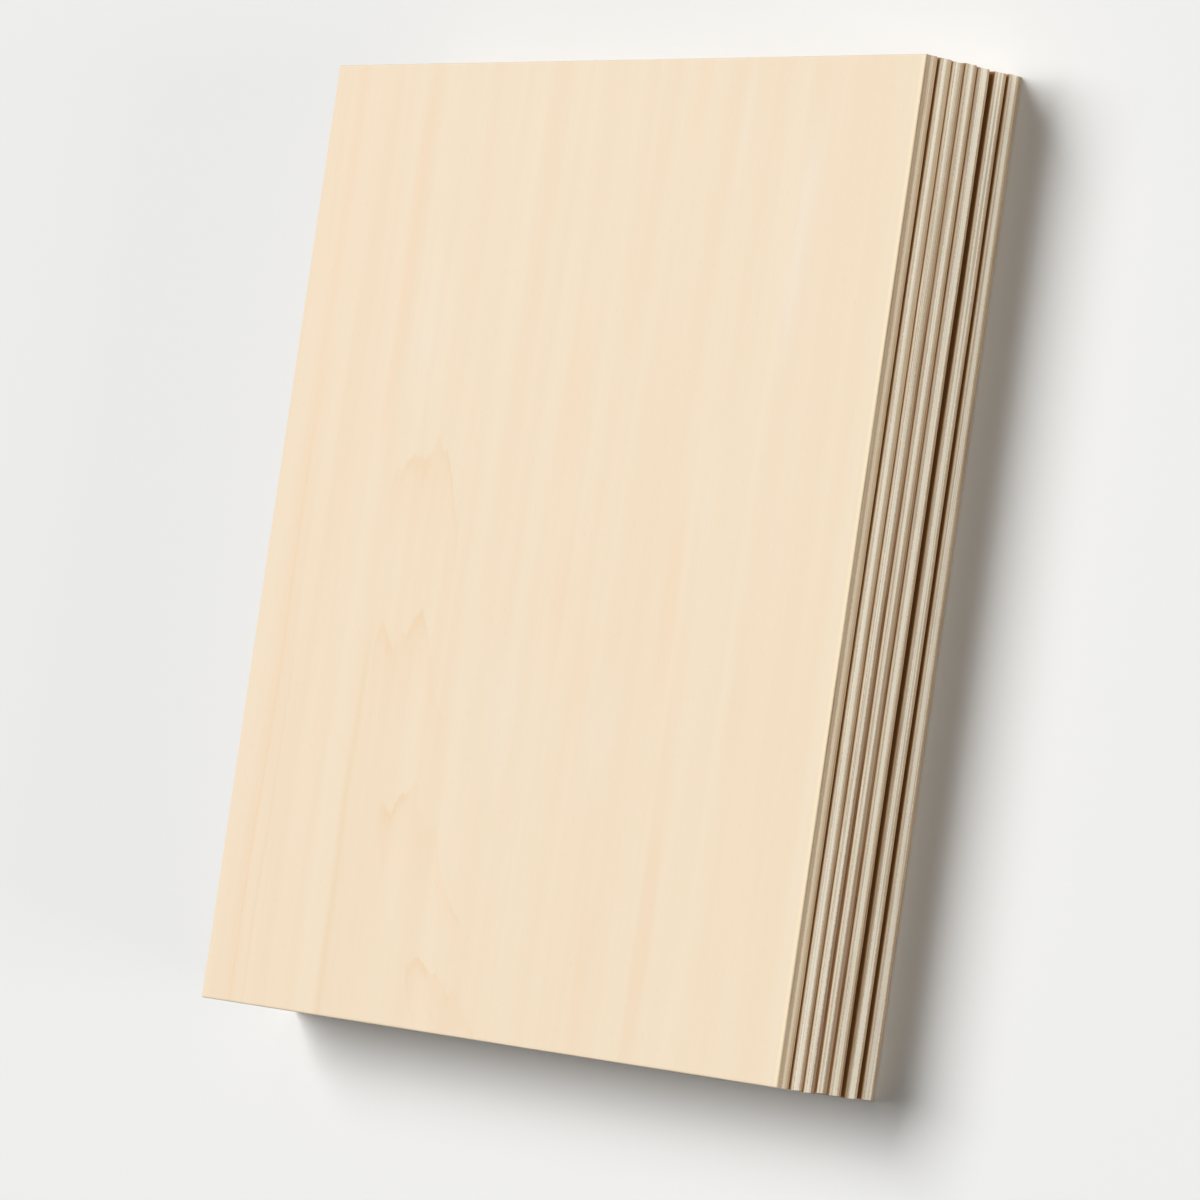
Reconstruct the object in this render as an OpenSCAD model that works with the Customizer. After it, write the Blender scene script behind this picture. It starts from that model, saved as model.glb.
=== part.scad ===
// Stack of thin three-ply plywood sheets, lying flat with the best face up.
// Each sheet is a cross-grain core between two veneers. Sheets this thin cup a little as they
// dry, so they meet along their middles or along their long edges and gape in between.
// X runs across the face grain, Y along it and Z up through the sheets. Sizes are millimetres.

/* [Sheet] */
// Width of a sheet, across the grain of its face
sheet_width = 200; // [100:1:300]
// Length of a sheet, along the grain of its face
sheet_length = 200; // [100:1:400]

/* [Plies] */
// Thickness of the veneer on the upper side of a sheet
face_ply = 0.6; // [0.4:0.05:1.5]
// Thickness of the cross-grain core
core_ply = 1.85; // [0.8:0.05:6]
// Thickness of the veneer on the under side of a sheet
back_ply = 0.6; // [0.4:0.05:1.5]
// Width of the eased corner along the long edges of a sheet
arris = 0.3; // [0:0.05:0.35]

/* [Cup] */
// Rise of the long edges above the middle, top sheet
cup_1 = 0; // [-3:0.05:3]
// Rise of the long edges above the middle, second sheet
cup_2 = -0.5; // [-3:0.05:3]
// Rise of the long edges above the middle, third sheet
cup_3 = 0.65; // [-3:0.05:3]
// Rise of the long edges above the middle, fourth sheet
cup_4 = 1.85; // [-3:0.05:3]
// Rise of the long edges above the middle, fifth sheet
cup_5 = 1.65; // [-3:0.05:3]
// Rise of the long edges above the middle, sixth sheet
cup_6 = 0.8; // [-3:0.05:3]
// Rise of the long edges above the middle, bottom sheet
cup_7 = 0; // [-3:0.05:3]

/* [Stack] */
// Air left where two sheets touch
rest_gap = 0.05; // [0.02:0.01:0.3]
// How far a sheet may lie out of line with the stack
stray = 0.1; // [0:0.05:0.5]
// How far a sheet may lie turned in the stack, in degrees
skew = 0.03; // [0:0.01:0.2]

/* [Hidden] */
cups = [cup_1, cup_2, cup_3, cup_4, cup_5, cup_6, cup_7];
bottom = len(cups) - 1;
sheet_thickness = face_ply + core_ply + back_ply;

// Steps across the width that draw the curve of a cupped sheet
cup_steps = 20;
// Angle between one sheet's stray and the next, so that no two sheets stray alike
stray_turn = 137.5;

PLIES = ["face_veneer", "core", "back_veneer"];
ply_thickness = [face_ply, core_ply, back_ply];
// Height of each ply's lower side above the underside of its sheet
ply_height = [back_ply + core_ply, back_ply, 0];
// Easing of each ply's lower and upper corners: only the outer corners of a sheet are eased
ply_ease = [[0, arris], [0, 0], [arris, 0]];
ply_colour = [[0.93, 0.85, 0.74], [0.86, 0.82, 0.73], [0.72, 0.60, 0.45]];

function node_name(sheet, layer) = str("sheet_", sheet + 1, "_", PLIES[layer]);

// Rise of a sheet at the distance x from its middle: a shallow parabola
function rise(x, cup) = cup * pow(2 * x / sheet_width, 2);

// Direction in which a sheet strays, and how far that carries it along X and Y
function direction(sheet) = stray_turn * sheet;
function stray_x(sheet) = stray * cos(direction(sheet));
function stray_y(sheet) = stray * sin(direction(sheet));

// Room a sheet needs above the one under it, because of their cups. A sheet that cups more than
// the one under it rests on its middle, and a sheet that cups less rides on the long edges.
function lift(sheet) =
    max([for (x = [-0.5, 0, 0.5] * sheet_width)
        rise(x - stray_x(sheet + 1), cups[sheet + 1]) - rise(x - stray_x(sheet), cups[sheet])]);

// Height of the middle of a sheet's underside, counted up from the floor
function seat(sheet) =
    sheet == bottom ? max(0, -cups[bottom])
    : seat(sheet + 1) + sheet_thickness + rest_gap + lift(sheet);

// Points across a sheet from left to right, short of its edges by ease. A flat one needs two.
function across(cup, ease) =
    let (steps = cup == 0 ? 1 : cup_steps)
    [for (step = [0 : steps]) (sheet_width - 2 * ease) * (step / steps - 0.5)];

// Section of one ply across its sheet: the curve of its lower side, the same curve above it, and
// the straight edges between, eased at the lower or the upper corners where these lie outside
module ply_section(cup, thickness, ease_lower, ease_upper) {
    edge = sheet_width / 2;
    foot = rise(edge, cup) + ease_lower;
    head = rise(edge, cup) + thickness - ease_upper;
    feet = ease_lower > 0 ? [foot] : [];
    heads = ease_upper > 0 ? [head] : [];
    lower = [for (x = across(cup, ease_lower)) [x, rise(x, cup)]];
    upper = [for (x = across(cup, ease_upper)) [-x, rise(x, cup) + thickness]];
    right = [for (z = concat(feet, heads)) [edge, z]];
    left = [for (z = concat(heads, feet)) [-edge, z]];
    polygon(concat(lower, right, upper, left));
}

// One ply as it lies in the stack: its section drawn along the grain, then strayed with its sheet
module ply(sheet, layer) {
    color(ply_colour[layer])
        translate([stray_x(sheet), stray_y(sheet), seat(sheet) + ply_height[layer]])
            rotate([0, 0, skew * sin(2 * direction(sheet))])
                rotate([90, 0, 0])
                    linear_extrude(sheet_length, center = true)
                        ply_section(cups[sheet], ply_thickness[layer],
                                    ply_ease[layer][0], ply_ease[layer][1]);
}

for (sheet = [0 : bottom])
    for (layer = [0 : len(PLIES) - 1])
        ply(sheet, layer);
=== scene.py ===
import math

import bpy
import numpy as np
from mathutils import Matrix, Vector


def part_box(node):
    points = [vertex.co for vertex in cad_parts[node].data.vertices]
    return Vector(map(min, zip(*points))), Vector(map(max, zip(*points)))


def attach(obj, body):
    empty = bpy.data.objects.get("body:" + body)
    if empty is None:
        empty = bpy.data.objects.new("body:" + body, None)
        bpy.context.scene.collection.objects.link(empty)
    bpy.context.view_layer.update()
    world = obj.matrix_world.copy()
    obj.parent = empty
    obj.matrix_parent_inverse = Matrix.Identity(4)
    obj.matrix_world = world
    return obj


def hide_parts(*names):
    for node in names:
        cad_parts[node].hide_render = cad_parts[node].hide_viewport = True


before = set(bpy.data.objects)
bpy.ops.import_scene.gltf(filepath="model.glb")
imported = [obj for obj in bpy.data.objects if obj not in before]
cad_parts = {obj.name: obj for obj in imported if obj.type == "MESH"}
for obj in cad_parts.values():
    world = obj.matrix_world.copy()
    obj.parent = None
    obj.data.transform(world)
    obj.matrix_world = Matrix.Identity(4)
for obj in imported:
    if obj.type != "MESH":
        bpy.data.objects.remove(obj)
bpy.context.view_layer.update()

# Cores. Every sheet is built on a core of pale wood whose grain runs across the sheet, so its long
# edges show end grain. It is peeled from the log, dried, pressed between two glued veneers and
# sawn square together with them, and the thin sheet then cups and twists a little in the air.

MM = 0.001
SHEETS = range(1, 8)
HALF_SIDE = 100 * MM
BACK_PLY = 0.6 * MM
CORE_PLY = 1.85 * MM

# How each sheet lies, from the top one down: the rise of its long edges over its middle, the rise of
# its far right corner by twist, and the height and phase of the slow ripple along its edges. Sheets
# that touch along their edges twist and ripple nearly alike.
CUP = np.array([0, -0.5, 0.65, 1.85, 1.65, 0.8, 0]) * MM
TWIST = np.array([0, -0.04, -0.08, -0.12, -0.15, -0.20, 0]) * MM
RIPPLE = np.array([0, 0.03, 0.03, 0.03, 0.03, 0.05, 0]) * MM
RIPPLE_PHASE = [0, 1.0, 1.0, 1.0, 2.5, 4.0, 0]
# Waves of the ripple over half the length of a sheet, and over half its width, which slants them
RIPPLE_WAVES = 1.6
RIPPLE_SLANT = 0.3
# Most turn of a sheet in the stack, and the angle between the stray of one sheet and of the next
SKEW = math.radians(0.03)
STRAY_TURN = math.radians(137.5)


def sheet_rise(sheet, x, y):
    """Height of a sheet at the place (x, y) over its middle: the cup is a parabola across the width,
    the twist a product of both places, and the ripple a sine along the length that grows like the cup."""
    u = x / HALF_SIDE
    v = y / HALF_SIDE
    waves = RIPPLE_WAVES * v + RIPPLE_SLANT * u
    ripple = u * u * np.sin(2 * math.pi * waves + RIPPLE_PHASE[sheet - 1])
    return CUP[sheet - 1] * u * u + TWIST[sheet - 1] * u * v + RIPPLE[sheet - 1] * ripple


CORNER_ROUND = 0.15 * MM
CORNER_CROWD = 1.45
SIDE_STEPS = 128


def sheet_outline():
    """Outline of a sheet from above, anticlockwise, as places and outward directions, each 2 by n.
    Places along a side crowd to its ends by a cubic, and near a corner they bend onto a quarter circle."""
    t = np.linspace(-1, 1, SIDE_STEPS, endpoint=False)
    along = HALF_SIDE * (CORNER_CROWD * t - (CORNER_CROWD - 1) * t ** 3)
    straight = HALF_SIDE - CORNER_ROUND
    bend = np.sign(along) * np.clip(np.abs(along) - straight, 0, None) / CORNER_ROUND * math.pi / 4
    normal = np.stack([np.cos(bend), np.sin(bend)])
    place = np.stack([np.full_like(t, straight), np.clip(along, -straight, straight)])
    place = place + CORNER_ROUND * normal
    turns = [np.array([[c, -s], [s, c]]) for c, s in ((1, 0), (0, 1), (-1, 0), (0, -1))]
    return np.hstack([r @ place for r in turns]), np.hstack([r @ normal for r in turns])


WAVE_STRENGTH = (0.4, 1.0)


def wander(count, seed, slowest, fastest):
    """Random wander once round a closed line, about -1 to 1: a sum of sines with whole numbers of
    waves from slowest to fastest, in random phase, each weaker by the root of its number."""
    rng = np.random.default_rng(seed)
    waves = np.arange(slowest, fastest + 1)[:, None]
    phase = rng.uniform(0, 2 * math.pi, waves.shape)
    strength = rng.uniform(*WAVE_STRENGTH, waves.shape) / np.sqrt(waves)
    line = np.arange(count)[None, :] / count
    total = (strength * np.sin(2 * math.pi * waves * line + phase)).sum(0)
    return total / np.abs(total).max()


# Rings on the flat of a ply, by their distance from its edge
FLAT_INSETS = np.array([94, 82, 70, 58, 46, 35, 25, 17, 11, 6.5, 3.5, 1.8, 1.0, 0.6]) * MM


def ply_rings(thickness, ease_lower, ease_upper, steps_lower, steps_upper):
    """Inset, height and cut share of the rings that cover a ply, from the middle of its upper side out
    to the edge, down the sawn wall and back under it. A corner is a quarter circle of the eased size."""
    count = len(ease_upper)
    flat = np.repeat(FLAT_INSETS[:, None], count, 1)
    up = np.linspace(0, math.pi / 2, steps_upper + 1)[:, None]
    down = np.linspace(math.pi / 2, 0, steps_lower + 1)[:, None]
    wall = np.array([[2 / 3], [1 / 3]])
    wall_height = wall * (thickness - ease_upper) + (1 - wall) * ease_lower
    inset = np.vstack([flat, ease_upper * (1 - np.sin(up)), 0 * wall_height,
                       ease_lower * (1 - np.sin(down)), flat[::-1]])
    height = np.vstack([0 * flat + thickness, thickness - ease_upper * (1 - np.cos(up)), wall_height,
                        ease_lower * (1 - np.cos(down)), 0 * flat])
    cut = np.concatenate([np.zeros(len(flat)), up[:, 0] / up.max(), np.ones(len(wall)),
                          down[:, 0] / down.max(), np.zeros(len(flat))])
    return inset, height, np.repeat(cut[:, None], count, 1)


SHARP_ANGLE = math.radians(32)


def closed_mesh(name, rings, poles):
    """Closed mesh from rings of points, rows by points by 3, and a pole inside the first and the last:
    quads join each ring to the next, and a fan of triangles joins each pole to its ring."""
    rows, count = rings.shape[:2]
    grid = np.arange(rows * count).reshape(rows, count)
    after = np.roll(grid, -1, 1)
    quads = np.stack([grid[:-1], grid[1:], after[1:], after[:-1]], -1).reshape(-1, 4)
    first_pole = np.full(count, rows * count)
    top_fan = np.stack([first_pole, grid[0], after[0]], -1)
    under_fan = np.stack([first_pole + 1, after[-1], grid[-1]], -1)
    fans = np.vstack([top_fan, under_fan])
    corners = np.concatenate([quads.ravel(), fans.ravel()])
    starts = np.concatenate([4 * np.arange(len(quads)), 4 * len(quads) + 3 * np.arange(len(fans))])
    verts = np.vstack([rings.reshape(-1, 3), poles])

    mesh = bpy.data.meshes.new(name)
    mesh.vertices.add(len(verts))
    mesh.vertices.foreach_set("co", verts.astype(np.float32).ravel())
    mesh.loops.add(len(corners))
    mesh.loops.foreach_set("vertex_index", corners.astype(np.int32))
    mesh.polygons.add(len(starts))
    mesh.polygons.foreach_set("loop_start", starts.astype(np.int32))
    mesh.update(calc_edges=True)
    mesh.validate()
    mesh.shade_smooth()
    mesh.set_sharp_from_angle(angle=SHARP_ANGLE)
    return mesh


# The square corners at the glue lines are only broken, and the rounded ones vary in size by the share
# ROUND_WEAR. The saw wanders along the edge. Waves are counted once round the sheet.
SQUARE_BREAK = 0.025 * MM
BREAK_STEPS = 1
ROUND_STEPS = 5
ROUND_WEAR = 0.3
WEAR_WAVES = (5, 60)
SAW_WANDER = 0.03 * MM
SAW_WAVES = (2, 24)


def ply_object(sheet, layer, base, thickness, ease_lower, ease_upper, recess, fuzz):
    """One ply as a closed surface: the rings of its section carried round the outline of its sheet,
    shrunk towards the middle by their inset, lifted by the sheet's rise and laid where the sheet lies."""
    name = f"sheet_{sheet}_{layer}"
    place, normal = sheet_outline()
    count = place.shape[1]
    wear = 1 + ROUND_WEAR * wander(count, 100 * sheet + len(layer), *WEAR_WAVES)
    steps_lower = BREAK_STEPS if ease_lower == SQUARE_BREAK else ROUND_STEPS
    steps_upper = BREAK_STEPS if ease_upper == SQUARE_BREAK else ROUND_STEPS
    inset, height, cut = ply_rings(
        thickness, ease_lower * wear, ease_upper * wear, steps_lower, steps_upper)
    rng = np.random.default_rng(1000 * sheet + len(layer))
    proud = SAW_WANDER * wander(count, sheet, *SAW_WAVES) - recess + fuzz * rng.standard_normal(cut.shape)
    shrink = 1 - inset / HALF_SIDE
    x = place[0] * shrink + normal[0] * proud * cut
    y = place[1] * shrink + normal[1] * proud * cut
    z = base + height + sheet_rise(sheet, x, y)

    low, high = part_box(f"sheet_{sheet}_back_veneer")
    seat = low.z - min(0.0, CUP[sheet - 1])
    turn = SKEW * math.sin(2 * STRAY_TURN * (sheet - 1))
    middle_x = (low.x + high.x) / 2
    middle_y = (low.y + high.y) / 2
    rings = np.stack([middle_x + x * math.cos(turn) - y * math.sin(turn),
                      middle_y + x * math.sin(turn) + y * math.cos(turn), seat + z], -1)
    poles = np.array([[middle_x, middle_y, seat + base + thickness], [middle_x, middle_y, seat + base]])
    mesh = closed_mesh(name + "_dressed", rings, poles)
    pole_inset = HALF_SIDE / MM
    for key, values, at_poles in (("cut", cut, (0, 0)), ("depth", height / thickness, (1, 0)),
                                  ("inset", inset / MM, (pole_inset, pole_inset))):
        kept = mesh.attributes.new(key, "FLOAT", "POINT")
        kept.data.foreach_set("value", np.concatenate([values.ravel(), at_poles]).astype(np.float32))
    piece = bpy.data.objects.new(name + "_dressed", mesh)
    bpy.context.scene.collection.objects.link(piece)
    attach(piece, "root")
    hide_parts(name)
    return piece


def put(tree, kind, inputs=None, **settings):
    """A node of that kind with its settings, each named input set to a value or joined to a socket."""
    node = tree.nodes.new(kind)
    for key, value in settings.items():
        setattr(node, key, value)
    for key, value in (inputs or {}).items():
        if isinstance(value, bpy.types.NodeSocket):
            tree.links.new(value, node.inputs[key])
        else:
            node.inputs[key].default_value = value
    return node


def sum_of(tree, operation, a, b=0.0, c=0.0):
    """Result of a Math node on up to three values."""
    return put(tree, "ShaderNodeMath", {0: a, 1: b, 2: c}, operation=operation).outputs[0]


def noise(tree, place, per_mm, detail, rough=0.55):
    """Smooth noise over a place in millimetres, with per_mm blotches to a millimetre along X, Y and Z."""
    scaled = put(tree, "ShaderNodeVectorMath", {0: place, 1: per_mm}, operation="MULTIPLY").outputs[0]
    inputs = {"Vector": scaled, "Scale": 1.0, "Detail": detail, "Roughness": rough}
    return put(tree, "ShaderNodeTexNoise", inputs, noise_dimensions="3D").outputs[0]


def soft_step(tree, value, low, high):
    """0 below low, 1 above high, and a smooth rise between. It falls where low is the larger."""
    inputs = {0: value, 1: low, 2: high, 3: 0.0, 4: 1.0}
    return put(tree, "ShaderNodeMapRange", inputs, interpolation_type="SMOOTHSTEP").outputs[0]


def tinted(tree, share, first, second, strength=1.0):
    """Colour that goes from the first to the second as the share goes from 0 to 1. With a strength under 1
    it goes only that part of the way."""
    if strength < 1.0:
        share = sum_of(tree, "MULTIPLY", share, strength)
    inputs = {0: share, 6: first, 7: second}
    return put(tree, "ShaderNodeMix", inputs, data_type="RGBA").outputs[2]


def colour(red, green, blue):
    """Opaque colour from linear parts."""
    return (red, green, blue, 1.0)


def grain_group(name, inputs, outputs):
    """Empty shader group with those sockets, Place a vector and the rest values, and its two end nodes."""
    tree = bpy.data.node_groups.new(name, "ShaderNodeTree")
    for key in inputs:
        kind = "NodeSocketVector" if key == "Place" else "NodeSocketFloat"
        tree.interface.new_socket(key, in_out="INPUT", socket_type=kind)
    for key in outputs:
        tree.interface.new_socket(key, in_out="OUTPUT", socket_type="NodeSocketFloat")
    return tree, tree.nodes.new("NodeGroupInput").outputs, tree.nodes.new("NodeGroupOutput").inputs


# Fibre of the wood, in millimetres with the grain along Y: hair-fine streaks, broad streaks, and
# short open pores. They are solid patterns, so the same log shows dashes along and dots across. The
# ranges are the values of the noise at which a pattern starts to show and is full.
HAIRS_PER_MM = (2.4, 0.05, 2.4)
STREAKS_PER_MM = (0.16, 0.006, 0.16)
PORES_PER_MM = (4.2, 0.42, 4.2)
NOISE_RANGE = (0.3, 0.7)
PORE_RANGE = (0.66, 0.76)
fibre_group, into, out = grain_group("wood_fibre", ["Place"], ["Hair", "Streak", "Pores"])
fine = noise(fibre_group, into["Place"], HAIRS_PER_MM, detail=4.0, rough=0.62)
broad = noise(fibre_group, into["Place"], STREAKS_PER_MM, detail=2.0, rough=0.5)
pore = noise(fibre_group, into["Place"], PORES_PER_MM, detail=1.0)
fibre_group.links.new(soft_step(fibre_group, fine, *NOISE_RANGE), out["Hair"])
fibre_group.links.new(soft_step(fibre_group, broad, *NOISE_RANGE), out["Streak"])
fibre_group.links.new(soft_step(fibre_group, pore, *PORE_RANGE), out["Pores"])

# Marks of the saw on a cut edge: fine scratches that stand upright, whichever way the edge runs
SCRATCHES_PER_MM = (3.1, 3.1, 0.14)
saw_group, into, out = grain_group("saw_marks", ["Place"], ["Marks"])
scratch = noise(saw_group, into["Place"], SCRATCHES_PER_MM, detail=3.0, rough=0.6)
saw_group.links.new(soft_step(saw_group, scratch, *NOISE_RANGE), out["Marks"])

# Glue between the plies: a stain that has soaked into the wood from the glue line and ends raggedly.
# Depth runs from 0 at the underside of a ply to 1 at its upper side. The stain is full over the half
# of its soak that lies next to the glue.
GLUE_RAGGED = 0.08
FULL_PART = 0.5
glue_group, into, out = grain_group(
    "glue_line", ["Depth", "Upper Soak", "Lower Soak", "Ragged"], ["Upper Stain", "Lower Stain"])
ragged = sum_of(glue_group, "MULTIPLY_ADD", into["Ragged"], GLUE_RAGGED, into["Depth"])
above = sum_of(glue_group, "SUBTRACT", 1.0, into["Upper Soak"])
full_above = sum_of(glue_group, "MULTIPLY_ADD", into["Upper Soak"], FULL_PART, above)
full_below = sum_of(glue_group, "MULTIPLY", into["Lower Soak"], FULL_PART)
glue_group.links.new(soft_step(glue_group, ragged, above, full_above), out["Upper Stain"])
glue_group.links.new(soft_step(glue_group, ragged, into["Lower Soak"], full_below), out["Lower Stain"])

# Way through the log, in millimetres, from one sheet's wood to the next
LOG_STEP = (37.0, 211.0, 53.0)


def place_in_mm(tree, log_place, grain_across):
    """Place on the piece in millimetres, moved by so many steps through the log that no two pieces share
    their grain, and turned a quarter about Z where the grain runs across."""
    coordinates = put(tree, "ShaderNodeTexCoord").outputs["Object"]
    turn = math.pi / 2 if grain_across else 0.0
    inputs = {"Vector": coordinates, "Location": tuple(log_place * step for step in LOG_STEP),
              "Rotation": (0, 0, turn), "Scale": (1 / MM, 1 / MM, 1 / MM)}
    return put(tree, "ShaderNodeMapping", inputs).outputs[0]


def kept_value(tree, key):
    """Value that the mesh of the piece keeps at each point."""
    return put(tree, "ShaderNodeAttribute", attribute_name=key).outputs["Fac"]


def group_node(tree, group, inputs):
    """Outputs of a shader group placed in a material."""
    return put(tree, "ShaderNodeGroup", inputs, node_tree=group).outputs


WOOD_GLOSS = 0.3


def bare_wood(name):
    """New material with its tree and its shader, which is set for dry bare wood."""
    material = bpy.data.materials.new(name)
    material.use_nodes = True
    tree = material.node_tree
    shader = tree.nodes["Principled BSDF"]
    shader.inputs["Specular IOR Level"].default_value = WOOD_GLOSS
    return material, tree, shader


def give_finish(tree, shader, wood, rough, height, distance):
    """Gives the shader its colour, its roughness and a bump by a height field, with that depth from its
    lowest to its highest."""
    inputs = {"Height": height, "Distance": distance, "Strength": 1.0}
    bump = put(tree, "ShaderNodeBump", inputs).outputs[0]
    tree.links.new(wood, shader.inputs["Base Color"])
    tree.links.new(rough, shader.inputs["Roughness"])
    tree.links.new(bump, shader.inputs["Normal"])


def from_foot_to_head(tree, ends):
    """Value that goes smoothly from the first end, at the foot of the sheet, to the second, at its head."""
    coordinates = put(tree, "ShaderNodeTexCoord").outputs["Object"]
    y = put(tree, "ShaderNodeSeparateXYZ", {0: coordinates}).outputs["Y"]
    share = soft_step(tree, y, -HALF_SIDE, HALF_SIDE)
    return sum_of(tree, "MULTIPLY_ADD", share, ends[1] - ends[0], ends[0])


CORE_PALE = np.array([0.85, 0.78, 0.64])
CORE_WARM = np.array([0.56, 0.41, 0.25])
CORE_SHADE = colour(0.56, 0.46, 0.33)
CORE_FLECK = colour(0.38, 0.25, 0.13)
CORE_PORE = colour(0.55, 0.46, 0.33)
GLUE_STAIN = colour(0.52, 0.395, 0.25)
SOAK_DARK_BROWN = colour(0.20, 0.095, 0.035)
LAYERS_PER_MM = (0.012, 0.012, 3.8)
LAYER_RANGE = (0.47, 0.62)
FLECKS_PER_MM = (0.04, 0.04, 4.5)
FLECK_RANGE = (0.64, 0.72)
CORE_FLECK_SHARE = 0.5
CORE_SAW_SHARE = 0.07
CORE_PORE_SHARE = 0.45
STAIN_SHARE = 0.9
CORE_ROUGH = 0.7
SAW_ROUGHENS = 0.12
CORE_BUMP = 0.003 * MM
# How warm each core is, from the top sheet down, how strong its growth layers show, how deep the glue
# has soaked into its upper and lower side, at its foot and at its head, in shares of its thickness, and
# how dark brown these two sides turn at its foot and at its head
CORE_WARMTH = [0.58, 0, 0.05, 0.05, 0, 0, 0]
CORE_LAYERS = [0.6, 0.5, 0.9, 0.8, 0.4, 0.9, 0.8]
UPPER_SOAK = [(0.43, 0.48), (0.03, 0.12), (0.03, 0.12), (0.03, 0.20),
              (0.12, 0.15), (0.20, 0.10), (0.10, 0.15)]
LOWER_SOAK = [(0.44, 0.40), (0.36, 0.60), (0.56, 0.50), (0.72, 0.40),
              (0.45, 0.08), (0.15, 0.25), (0.15, 0.40)]
NOT_BROWN = (0.0, 0.0)
UPPER_BROWN = [(0.32, 0.38)] + 6 * [NOT_BROWN]
LOWER_BROWN = [NOT_BROWN, (0.3, 0.0), (0.85, 0.15), (0.65, 0.0)] + 3 * [NOT_BROWN]


def core_material(sheet):
    """Pale cross-grain wood: end-grain pores and saw marks on its edges, growth layers that lie flat in
    the sheet with thin brown flecks among them, and the stain of the glue at its two glue lines."""
    material, tree, shader = bare_wood(f"core_{sheet}")
    place = place_in_mm(tree, sheet, True)
    fibre = group_node(tree, fibre_group, {"Place": place})
    saw = group_node(tree, saw_group, {"Place": place})
    layers = soft_step(tree, noise(tree, place, LAYERS_PER_MM, detail=4.0), *LAYER_RANGE)
    fleck = soft_step(tree, noise(tree, place, FLECKS_PER_MM, detail=2.0), *FLECK_RANGE)
    stain = group_node(tree, glue_group, {
        "Depth": kept_value(tree, "depth"), "Ragged": fibre["Hair"],
        "Upper Soak": from_foot_to_head(tree, UPPER_SOAK[sheet - 1]),
        "Lower Soak": from_foot_to_head(tree, LOWER_SOAK[sheet - 1])})
    pale = colour(*(CORE_PALE + CORE_WARMTH[sheet - 1] * (CORE_WARM - CORE_PALE)))
    wood = tinted(tree, layers, pale, CORE_SHADE, CORE_LAYERS[sheet - 1])
    wood = tinted(tree, fleck, wood, CORE_FLECK, CORE_FLECK_SHARE)
    wood = tinted(tree, saw["Marks"], wood, CORE_SHADE, CORE_SAW_SHARE)
    wood = tinted(tree, fibre["Pores"], wood, CORE_PORE, CORE_PORE_SHARE)
    # The soaked sides go from the tan stain towards a dark brown, more at one end than the other
    for side, brown in (("Upper Stain", UPPER_BROWN), ("Lower Stain", LOWER_BROWN)):
        soaked = tinted(tree, from_foot_to_head(tree, brown[sheet - 1]), GLUE_STAIN, SOAK_DARK_BROWN)
        wood = tinted(tree, stain[side], wood, soaked, STAIN_SHARE)
    rough = sum_of(tree, "MULTIPLY_ADD", saw["Marks"], SAW_ROUGHENS, CORE_ROUGH)
    height = sum_of(tree, "SUBTRACT", saw["Marks"], fibre["Pores"])
    give_finish(tree, shader, wood, rough, height, CORE_BUMP)
    return material


CORE_RECESS = 0.03 * MM
CORE_FUZZ = 0.012 * MM
for sheet in SHEETS:
    core = ply_object(
        sheet, "core", BACK_PLY, CORE_PLY, SQUARE_BREAK, SQUARE_BREAK, CORE_RECESS, CORE_FUZZ)
    core.data.materials.append(core_material(sheet))

# Back veneers. A thin veneer is glued under each core with its grain along the sheet, crossing the
# core's. It is a plainer, browner grade than the face and shows as a tan line on the sawn edges.

# The sawn edges of the veneers run from tan to a dark brown that is partly the wood's own and partly
# painted shade of the gaps between the sheets
EDGE_TAN = colour(0.63, 0.475, 0.30)
EDGE_BROWN_AND_SHADE = colour(0.15, 0.062, 0.018)
EDGE_VARIES = 0.3
EDGE_SAW_SHARE = 0.06


def veneer_edge(tree, fibre, saw, tan, brown):
    """Colour of the sawn edge of a veneer: tan to brown, the brown partly the wood's own and partly painted
    shade of the gaps beside it, streaked along its grain and scratched upright.
    """
    share = sum_of(tree, "MULTIPLY_ADD", fibre["Hair"], EDGE_VARIES, from_foot_to_head(tree, brown))
    share = sum_of(tree, "MAXIMUM", sum_of(tree, "SUBTRACT", share, EDGE_VARIES / 2), 0.0)
    edge = tinted(tree, share, tan, EDGE_BROWN_AND_SHADE)
    return tinted(tree, saw["Marks"], edge, EDGE_BROWN_AND_SHADE, EDGE_SAW_SHARE)


# Painted shade: a near-black brown round the rim of the hidden sides of the veneers, where the gaps between
# the sheets lie in shade
RIM_PAINTED_SHADE = colour(0.40, 0.19, 0.048)
RIM_SHADE_SHARE = 0.95
# Distances from the edge, in millimetres, at which the painted shade starts and is full
RIM_SHADE_REACH = (5.0, 1.0)


def painted_gap_shade(tree, inner, outer):
    """How much painted shade lies on the outer side of a veneer, for the shade of the gap between sheets:
    most at the rim of the sheet, none a little way in, and none towards the glue. Inner and outer are the
    depths where it starts and is full."""
    rim = soft_step(tree, kept_value(tree, "inset"), *RIM_SHADE_REACH)
    return sum_of(tree, "MULTIPLY", rim, soft_step(tree, kept_value(tree, "depth"), inner, outer))


BACK_WOOD = colour(0.66, 0.50, 0.33)
BACK_WOOD_SHADE = colour(0.54, 0.38, 0.23)
BACK_PORE = colour(0.42, 0.29, 0.17)
# Steps through the log that part the wood of the backs from that of the faces
BACK_LOG_PLACE = 20
BACK_HAIR_SHARE = 0.25
BACK_PORE_SHARE = 0.5
BACK_SHADE_DEPTH = (0.6, 0.4)
# Way round a corner, 0 on the flat and 1 on the sawn wall, at which the colour of the edge starts
# and is full
CUT_RANGE = (0.3, 0.9)
VENEER_ROUGH = 0.62
BACK_HAIR_ROUGHENS = 0.12
BACK_BUMP = 0.004 * MM
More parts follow.
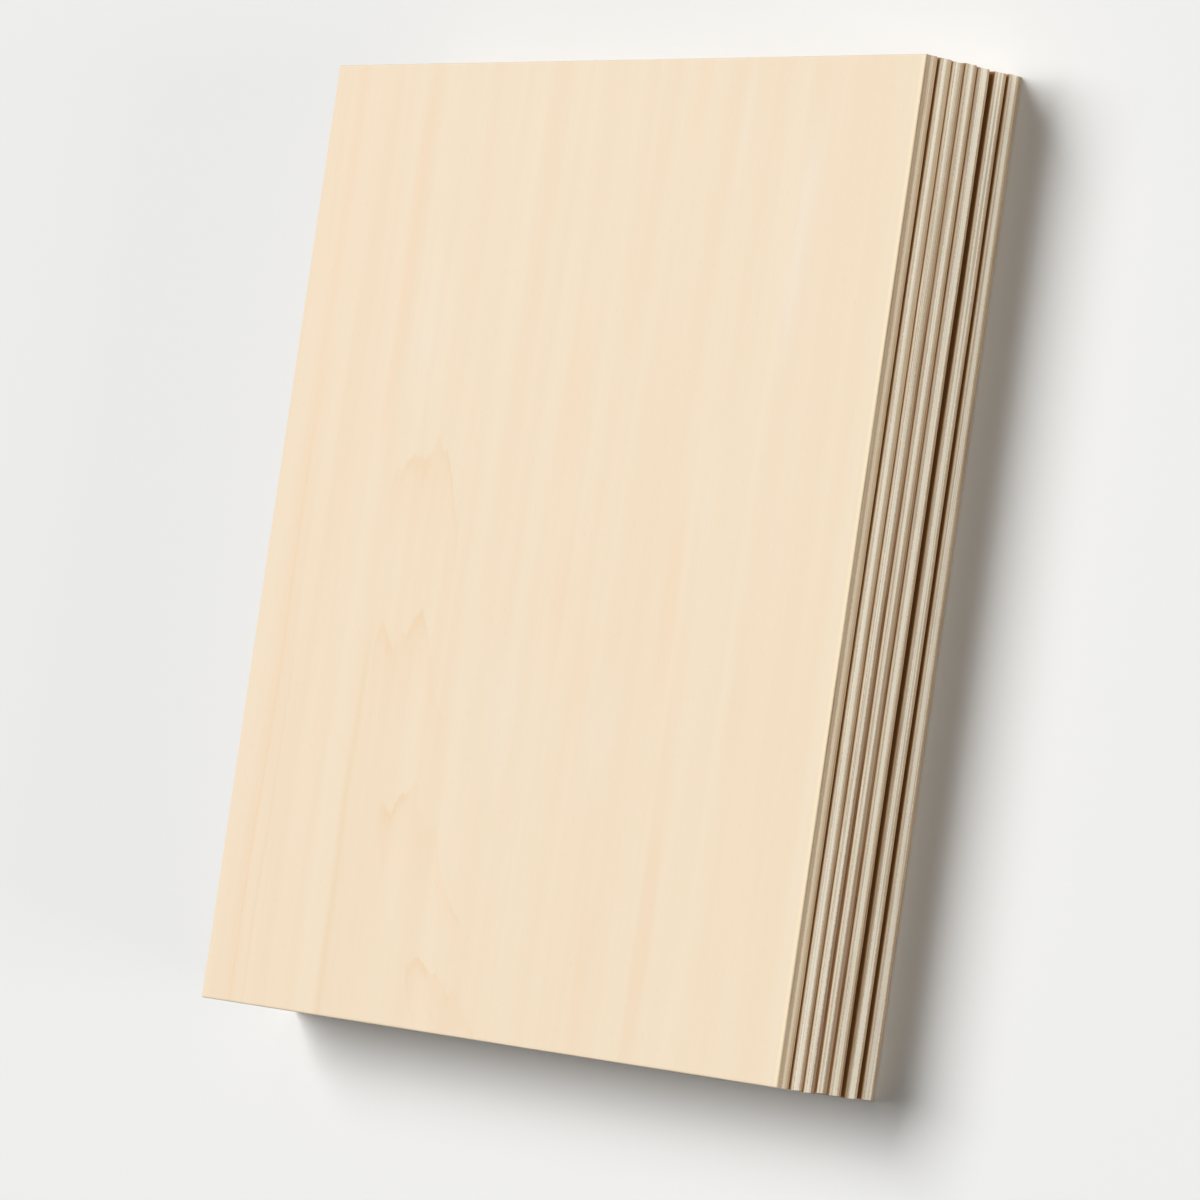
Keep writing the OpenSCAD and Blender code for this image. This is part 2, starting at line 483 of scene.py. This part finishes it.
# How brown the sawn edge of each back veneer is at its foot and at its head, from the top sheet down;
# the brown is partly the wood's own and partly painted shade of the gaps between the sheets
BACK_EDGE_BROWN_AND_SHADE = [(0.46, 0.34), (0.7, 0.25), (1.0, 0.52), (0.9, 0.4),
                   (0.6, 0.4), (0.25, 0.3), (0.4, 0.4)]


def back_material(sheet):
    """Plain tan veneer with its edge sawn and its arris eased, with painted shade round the rim of its
    hidden side. The lowest one has no sheet under it and gets none."""
    material, tree, shader = bare_wood(f"back_veneer_{sheet}")
    place = place_in_mm(tree, BACK_LOG_PLACE + sheet, False)
    fibre = group_node(tree, fibre_group, {"Place": place})
    saw = group_node(tree, saw_group, {"Place": place})
    wood = tinted(tree, fibre["Streak"], BACK_WOOD, BACK_WOOD_SHADE)
    wood = tinted(tree, fibre["Hair"], wood, BACK_WOOD_SHADE, BACK_HAIR_SHARE)
    wood = tinted(tree, fibre["Pores"], wood, BACK_PORE, BACK_PORE_SHARE)
    # Painted shade round the rim of the underside, where the gap below lies in shade
    if sheet < SHEETS[-1]:
        wood = tinted(tree, painted_gap_shade(tree, *BACK_SHADE_DEPTH), wood, RIM_PAINTED_SHADE, RIM_SHADE_SHARE)
    edge = veneer_edge(tree, fibre, saw, EDGE_TAN, BACK_EDGE_BROWN_AND_SHADE[sheet - 1])
    wood = tinted(tree, soft_step(tree, kept_value(tree, "cut"), *CUT_RANGE), wood, edge)
    rough = sum_of(tree, "MULTIPLY_ADD", fibre["Hair"], BACK_HAIR_ROUGHENS, VENEER_ROUGH)
    height = sum_of(tree, "SUBTRACT", fibre["Hair"], fibre["Pores"])
    give_finish(tree, shader, wood, rough, height, BACK_BUMP)
    return material


ARRIS = 0.3 * MM
VENEER_FUZZ = 0.006 * MM
for sheet in SHEETS:
    back = ply_object(sheet, "back_veneer", 0.0, BACK_PLY, ARRIS, SQUARE_BREAK, 0.0, VENEER_FUZZ)
    back.data.materials.append(back_material(sheet))

# Face veneers. The best veneer, peeled thin and clear and sanded smooth, is glued on top of each core
# with its grain along the sheet. The top one shows a faint pointed figure where the knife ran nearly
# along the growth rings, and a painted highlight lies along its right arris.

# Growth figure of a flat-cut veneer, in millimetres. The knife's plane lies at a depth from the pith
# that grows along the sheet, so the rings, as distance from the pith, meet it in arches. The rings are
# squarish, as the fourth root of a sum of fourth powers, which gives the arches broad heads, and they
# fall steeply on the left and gently on the right. The line of the heads bends aside at the foot, and the
# rings fade far from that line and towards the top.
LEFT_SLOPE = -2.2
RIGHT_SLOPE = 0.68
SQUARISH = 1.6
# Waves and teeth that the noise puts on the rings
NOISE_MIDDLE = 0.5
SLOW_WAVES_PER_MM = (0.03, 0.012, 0.03)
SLOW_WAVE_HEIGHT = 2.0
TEETH_PER_MM = (0.11, 0.016, 0.11)
TOOTH_HEIGHT = 3.2
# Sloped distance from the line of the heads, and place along the sheet, over which the rings fade
LEFT_FADE = -2.9
BESIDE_RANGE = (18.0, 9.0)
TOP_RANGE = (36.0, 24.0)
PATCHES_PER_MM = (0.12, 0.03, 0.12)
PATCH_RANGE = (0.42, 0.66)
# Shares of a ring: where the late wood darkens, where its line starts, and where the ring ends
LATE_RANGE = (0.35, 1.0)
LINE_RANGE = (0.86, 0.97)
RING_END = (1.0, 0.97)
figure_group, into, out = grain_group(
    "growth_figure", ["Place", "Axis", "Bend", "Pith Depth", "Taper", "Ring Width"],
    ["Late Wood", "Ring Line"])
parts = put(figure_group, "ShaderNodeSeparateXYZ", {0: into["Place"]}).outputs
below = sum_of(figure_group, "MINIMUM", parts["Y"], 0.0)
bend = sum_of(figure_group, "MULTIPLY", sum_of(figure_group, "MULTIPLY", below, below), into["Bend"])
aside = sum_of(figure_group, "SUBTRACT", parts["X"], sum_of(figure_group, "ADD", into["Axis"], bend))
depth = sum_of(figure_group, "MULTIPLY_ADD", parts["Y"], into["Taper"], into["Pith Depth"])
square = sum_of(figure_group, "MULTIPLY", depth, depth)
fourth = sum_of(figure_group, "MULTIPLY", square, square)
rightward = sum_of(figure_group, "MULTIPLY", aside, RIGHT_SLOPE)
away = sum_of(figure_group, "MAXIMUM", rightward, sum_of(figure_group, "MULTIPLY", aside, LEFT_SLOPE))
spread = sum_of(figure_group, "MULTIPLY", sum_of(figure_group, "MULTIPLY", away, away), SQUARISH)
radius = sum_of(figure_group, "MULTIPLY_ADD", spread, spread, fourth)
radius = sum_of(figure_group, "SQRT", sum_of(figure_group, "SQRT", radius))
slow = noise(figure_group, into["Place"], SLOW_WAVES_PER_MM, detail=2.0)
slow = sum_of(figure_group, "SUBTRACT", slow, NOISE_MIDDLE)
radius = sum_of(figure_group, "MULTIPLY_ADD", slow, SLOW_WAVE_HEIGHT, radius)
jagged = noise(figure_group, into["Place"], TEETH_PER_MM, detail=3.0, rough=0.5)
jagged = sum_of(figure_group, "SUBTRACT", jagged, NOISE_MIDDLE)
radius = sum_of(figure_group, "MULTIPLY_ADD", jagged, TOOTH_HEIGHT, radius)
ring = sum_of(figure_group, "FRACT", sum_of(figure_group, "DIVIDE", radius, into["Ring Width"]))
fading = sum_of(figure_group, "MAXIMUM", rightward, sum_of(figure_group, "MULTIPLY", aside, LEFT_FADE))
beside = soft_step(figure_group, fading, *BESIDE_RANGE)
shown = sum_of(figure_group, "MULTIPLY", beside, soft_step(figure_group, parts["Y"], *TOP_RANGE))
patchy = noise(figure_group, into["Place"], PATCHES_PER_MM, detail=2.0)
patchy = soft_step(figure_group, patchy, *PATCH_RANGE)
outer = soft_step(figure_group, ring, *RING_END)
late = sum_of(figure_group, "MULTIPLY", soft_step(figure_group, ring, *LATE_RANGE), outer)
line = sum_of(figure_group, "MULTIPLY", soft_step(figure_group, ring, *LINE_RANGE), outer)
line = sum_of(figure_group, "MULTIPLY", line, shown)
figure_group.links.new(sum_of(figure_group, "MULTIPLY", late, shown), out["Late Wood"])
figure_group.links.new(sum_of(figure_group, "MULTIPLY", line, patchy), out["Ring Line"])

# One streak of colour along the grain, in millimetres: strongest on its line, gone at its half width,
# and faded in and out at its two ends. END_FADE is how far within an end the fade starts and is full.
END_FADE = (-8.0, 16.0)
streak_group, into, out = grain_group(
    "grain_streak", ["Place", "Line", "Half Width", "Start", "End", "Strength"], ["Streak"])
parts = put(streak_group, "ShaderNodeSeparateXYZ", {0: into["Place"]}).outputs
off = sum_of(streak_group, "ABSOLUTE", sum_of(streak_group, "SUBTRACT", parts["X"], into["Line"]))
near = soft_step(streak_group, sum_of(streak_group, "DIVIDE", off, into["Half Width"]), 1.0, 0.0)
past_start = sum_of(streak_group, "SUBTRACT", parts["Y"], into["Start"])
short_of_end = sum_of(streak_group, "SUBTRACT", into["End"], parts["Y"])
within = sum_of(streak_group, "MULTIPLY", soft_step(streak_group, past_start, *END_FADE),
                soft_step(streak_group, short_of_end, *END_FADE))
strength = sum_of(streak_group, "MULTIPLY", within, into["Strength"])
streak_group.links.new(sum_of(streak_group, "MULTIPLY", near, strength), out["Streak"])

# Streaks on the top face, in millimetres: line, half width, start and end along the grain, strength.
# The blushing ones are warmer than the wood about them, the cool ones paler, and the late ones are
# growth lines that the knife cut along their length. They sway to either side by up to STREAK_SWAY.
BLUSH_STREAKS = [(-100, 70, -300, 300, 0.05), (-90, 4, -130, 130, 0.4), (-97, 5, 40, 130, 0.2),
                 (-63, 4, 17, 97, 0.45), (-73, 3, -55, 27, 0.25), (2, 7, 8, 48, 0.35),
                 (7, 9, -23, 5, 0.35), (18, 4, -36, -16, 0.45), (44, 4, -29, 11, 0.5),
                 (48, 3, -46, -30, 0.3), (51, 3.5, -98, -52, 0.5), (33, 3.5, -110, -68, 0.4),
                 (71, 4, -36, -18, 0.25), (30, 5, 80, 110, 0.3)]
COOL_STREAKS = [(46.5, 3.5, 74, 98, 0.7), (70, 5, 38, 88, 0.8), (51, 3.5, 2, 28, 0.5),
                (-52, 11, 27, 60, 0.5), (-8, 9, -50, -20, 0.55), (27, 9, -50, -24, 0.45),
                (2, 5, -72, -58, 0.35)]
LATE_STREAKS = [(-57, 2.0, -130, -14, 0.34), (-89.5, 1.1, -120, 30, 0.26), (-85, 0.9, -110, -25, 0.22)]
SWAYS_PER_MM = (0.05, 0.015, 0.05)
STREAK_SWAY = 3.0
# Line of the arches' heads, how it bends at the foot, depth and taper of the knife's cut, ring width
TOP_FIGURE = {"Axis": -53.0, "Bend": 0.0037, "Pith Depth": 27.5, "Taper": 0.083, "Ring Width": 2.9}

FACE_CREAM = colour(0.885, 0.737, 0.547)
FACE_SHADE = colour(0.836, 0.667, 0.471)
FACE_RING = colour(0.818, 0.597, 0.336)
FACE_BLUSH = colour(0.890, 0.660, 0.454)
FACE_COOL = colour(0.880, 0.758, 0.603)
FACE_PORE = colour(0.620, 0.460, 0.300)
EDGE_CREAM = colour(0.820, 0.715, 0.545)
ARRIS_PAINTED_HIGHLIGHT = colour(0.945, 0.785, 0.540)
FACE_STREAK_SHARE = 0.48
LATE_WOOD_SHARE = 0.4
RING_LINE_SHARE = 0.5
FACE_HAIR_SHARE = 0.13
FACE_PORE_SHARE = 0.16
FACE_SHADE_DEPTH = (0.4, 0.6)
# Distances from the right edge, in millimetres, at which the painted highlight on the arris starts and is
# full
ARRIS_HIGHLIGHT_RANGE = (1.5, 0.2)
TOP_CUT_RANGE = (0.5, 0.9)
FACE_HAIR_ROUGHENS = 0.02
FACE_BUMP = 0.0015 * MM
# How brown the sawn edge of each face veneer is at its foot and at its head, from the top sheet down;
# the brown is partly the wood's own and partly painted shade of the gaps between the sheets
FACE_EDGE_BROWN_AND_SHADE = [(0.63, 0.67), (0.22, 0.24), (0.05, 0.19), (0.0, 0.40),
                   (0.15, 0.40), (0.70, 0.27), (0.25, 0.25)]


def streaked(tree, place, wood):
    """Colour of the top face with its blushing, cool and late streaks laid over the wood."""
    sway = noise(tree, place, SWAYS_PER_MM, detail=2.0)
    sway = sum_of(tree, "MULTIPLY_ADD", sway, 2 * STREAK_SWAY, -STREAK_SWAY)
    sway = put(tree, "ShaderNodeCombineXYZ", {0: sway}).outputs[0]
    swayed = put(tree, "ShaderNodeVectorMath", {0: place, 1: sway}, operation="ADD").outputs[0]
    for tint, streaks in (
            (FACE_BLUSH, BLUSH_STREAKS), (FACE_COOL, COOL_STREAKS), (FACE_RING, LATE_STREAKS)):
        for line, half_width, start, end, strength in streaks:
            streak = group_node(tree, streak_group, {
                "Place": swayed, "Line": line, "Half Width": half_width, "Start": start, "End": end,
                "Strength": strength})
            wood = tinted(tree, streak["Streak"], wood, tint)
    return wood


def face_material(sheet):
    """Clear cream veneer with its growth figure, fibre and pores and a sawn edge. The top one has streaks
    and a painted highlight along its right arris. The sheets under it have another place in the log and
    painted shade round their rims."""
    material, tree, shader = bare_wood(f"face_veneer_{sheet}")
    top = sheet == SHEETS[0]
    place = place_in_mm(tree, 0 if top else sheet, False)
    fibre = group_node(tree, fibre_group, {"Place": place})
    saw = group_node(tree, saw_group, {"Place": place})
    figure = group_node(tree, figure_group, {"Place": place, **TOP_FIGURE})
    wood = tinted(tree, fibre["Streak"], FACE_CREAM, FACE_SHADE, FACE_STREAK_SHARE)
    if top:
        wood = streaked(tree, place, wood)
    wood = tinted(tree, figure["Late Wood"], wood, FACE_BLUSH, LATE_WOOD_SHARE)
    wood = tinted(tree, figure["Ring Line"], wood, FACE_RING, RING_LINE_SHARE)
    wood = tinted(tree, fibre["Hair"], wood, FACE_SHADE, FACE_HAIR_SHARE)
    wood = tinted(tree, fibre["Pores"], wood, FACE_PORE, FACE_PORE_SHARE)
    if top:
        # Painted highlight: a light line along the right arris, which faces the camera
        across = put(tree, "ShaderNodeSeparateXYZ", {0: place}).outputs["X"]
        from_edge = sum_of(tree, "SUBTRACT", HALF_SIDE / MM, across)
        wood = tinted(tree, soft_step(tree, from_edge, *ARRIS_HIGHLIGHT_RANGE), wood, ARRIS_PAINTED_HIGHLIGHT)
    else:
        # Painted shade round the rim of the upper side, where the gap under the sheet above lies in shade
        wood = tinted(tree, painted_gap_shade(tree, *FACE_SHADE_DEPTH), wood, RIM_PAINTED_SHADE, RIM_SHADE_SHARE)
    edge = veneer_edge(tree, fibre, saw, EDGE_CREAM, FACE_EDGE_BROWN_AND_SHADE[sheet - 1])
    cut_range = TOP_CUT_RANGE if top else CUT_RANGE
    wood = tinted(tree, soft_step(tree, kept_value(tree, "cut"), *cut_range), wood, edge)
    rough = sum_of(tree, "MULTIPLY_ADD", fibre["Hair"], FACE_HAIR_ROUGHENS, VENEER_ROUGH)
    height = sum_of(tree, "SUBTRACT", fibre["Hair"], fibre["Pores"])
    give_finish(tree, shader, wood, rough, height, FACE_BUMP)
    return material


FACE_PLY = 0.6 * MM
for sheet in SHEETS:
    face = ply_object(
        sheet, "face_veneer", BACK_PLY + CORE_PLY, FACE_PLY, SQUARE_BREAK, ARRIS, 0.0, VENEER_FUZZ)
    face.data.materials.append(face_material(sheet))

# Studio. A plain pale floor carries the stack. A large soft lamp stands far off beyond its left edge and
# its head, so that the shadow falls to the right and to the foot. A low one lights the edges that face the
# camera, and an even pale sky fills the rest.

FLOOR_REACH = 6.0
FLOOR_GREY = colour(0.85, 0.85, 0.84)
FLOOR_ROUGH = 0.9
floor_mesh = bpy.data.meshes.new("floor")
floor_mesh.from_pydata(
    [(-FLOOR_REACH, -FLOOR_REACH, 0), (FLOOR_REACH, -FLOOR_REACH, 0),
     (FLOOR_REACH, FLOOR_REACH, 0), (-FLOOR_REACH, FLOOR_REACH, 0)], [], [(0, 1, 2, 3)])
floor = bpy.data.objects.new("floor", floor_mesh)
bpy.context.scene.collection.objects.link(floor)
floor_paint = bpy.data.materials.new("pale_floor")
floor_paint.use_nodes = True
floor_shader = floor_paint.node_tree.nodes["Principled BSDF"]
floor_shader.inputs["Base Color"].default_value = FLOOR_GREY
floor_shader.inputs["Roughness"].default_value = FLOOR_ROUGH
floor_mesh.materials.append(floor_paint)

SKY_WHITE = colour(1.0, 1.0, 1.0)
SKY_STRENGTH = 0.09
sky = bpy.data.worlds.new("pale_sky")
sky.use_nodes = True
sky_tree = sky.node_tree
sky_light = sky_tree.nodes["Background"]
sky_light.inputs["Color"].default_value = SKY_WHITE
sky_light.inputs["Strength"].default_value = SKY_STRENGTH
sky_seen = put(sky_tree, "ShaderNodeBackground", {"Color": FLOOR_GREY, "Strength": 1.0})
to_camera = put(sky_tree, "ShaderNodeLightPath").outputs["Is Camera Ray"]
sky_both = put(sky_tree, "ShaderNodeMixShader",
               {0: to_camera, 1: sky_light.outputs[0], 2: sky_seen.outputs[0]})
sky_tree.links.new(sky_both.outputs[0], sky_tree.nodes["World Output"].inputs["Surface"])
bpy.context.scene.world = sky


def soft_lamp(name, place, size, level):
    """Square area lamp at that place, turned to the middle of the stack. A white card that faces it there
    is as bright as the level, or a little less where the lamp is large for its distance."""
    data = bpy.data.lights.new(name, "AREA")
    lamp = bpy.data.objects.new(name, data)
    bpy.context.scene.collection.objects.link(lamp)
    away = math.hypot(*place)
    data.size = size
    data.energy = level * (math.pi * away) ** 2
    lamp.location = place
    lamp.visible_camera = False
    lamp.rotation_euler = (math.acos(place[2] / away), 0.0, math.atan2(place[1], place[0]) + math.pi / 2)


KEY_PLACE = (-11.9, 5.0, 15.3)
KEY_SIZE = 13.0
KEY_LEVEL = 1.27
EDGE_LAMP_PLACE = (3.0, -0.3, 0.36)
EDGE_LAMP_SIZE = 0.66
EDGE_LAMP_LEVEL = 0.50
soft_lamp("key_lamp", KEY_PLACE, KEY_SIZE, KEY_LEVEL)
soft_lamp("edge_lamp", EDGE_LAMP_PLACE, EDGE_LAMP_SIZE, EDGE_LAMP_LEVEL)

# Camera. A long lens looks down on the stack from beyond its right long edge, rolled so that the grain
# of the top face runs up the picture.

AIM = np.array([20.9, -9.6, 24.0]) * MM
DISTANCE = 1.5306
AZIMUTH = math.radians(-3.60)
ELEVATION = math.radians(36.09)
ROLL = math.radians(79.54)
FOCAL_LENGTH = 230.4
SENSOR_WIDTH = 36.0

out_of_scene = np.array([math.cos(ELEVATION) * math.cos(AZIMUTH), math.cos(ELEVATION) * math.sin(AZIMUTH),
                         math.sin(ELEVATION)])
level_right = np.cross([0.0, 0.0, 1.0], out_of_scene)
level_right /= np.linalg.norm(level_right)
level_up = np.cross(out_of_scene, level_right)
up = math.cos(ROLL) * level_up + math.sin(ROLL) * level_right
right = np.cross(up, out_of_scene)
lens = bpy.data.cameras.new("long_lens")
lens.lens = FOCAL_LENGTH
lens.sensor_width = SENSOR_WIDTH
camera = bpy.data.objects.new("long_lens", lens)
bpy.context.scene.collection.objects.link(camera)
turned = np.eye(4)
turned[:3, 0] = right
turned[:3, 1] = up
turned[:3, 2] = out_of_scene
turned[:3, 3] = AIM + DISTANCE * out_of_scene
camera.matrix_world = Matrix(turned.tolist())
bpy.context.scene.camera = camera

bpy.context.scene.view_settings.view_transform = "Standard"
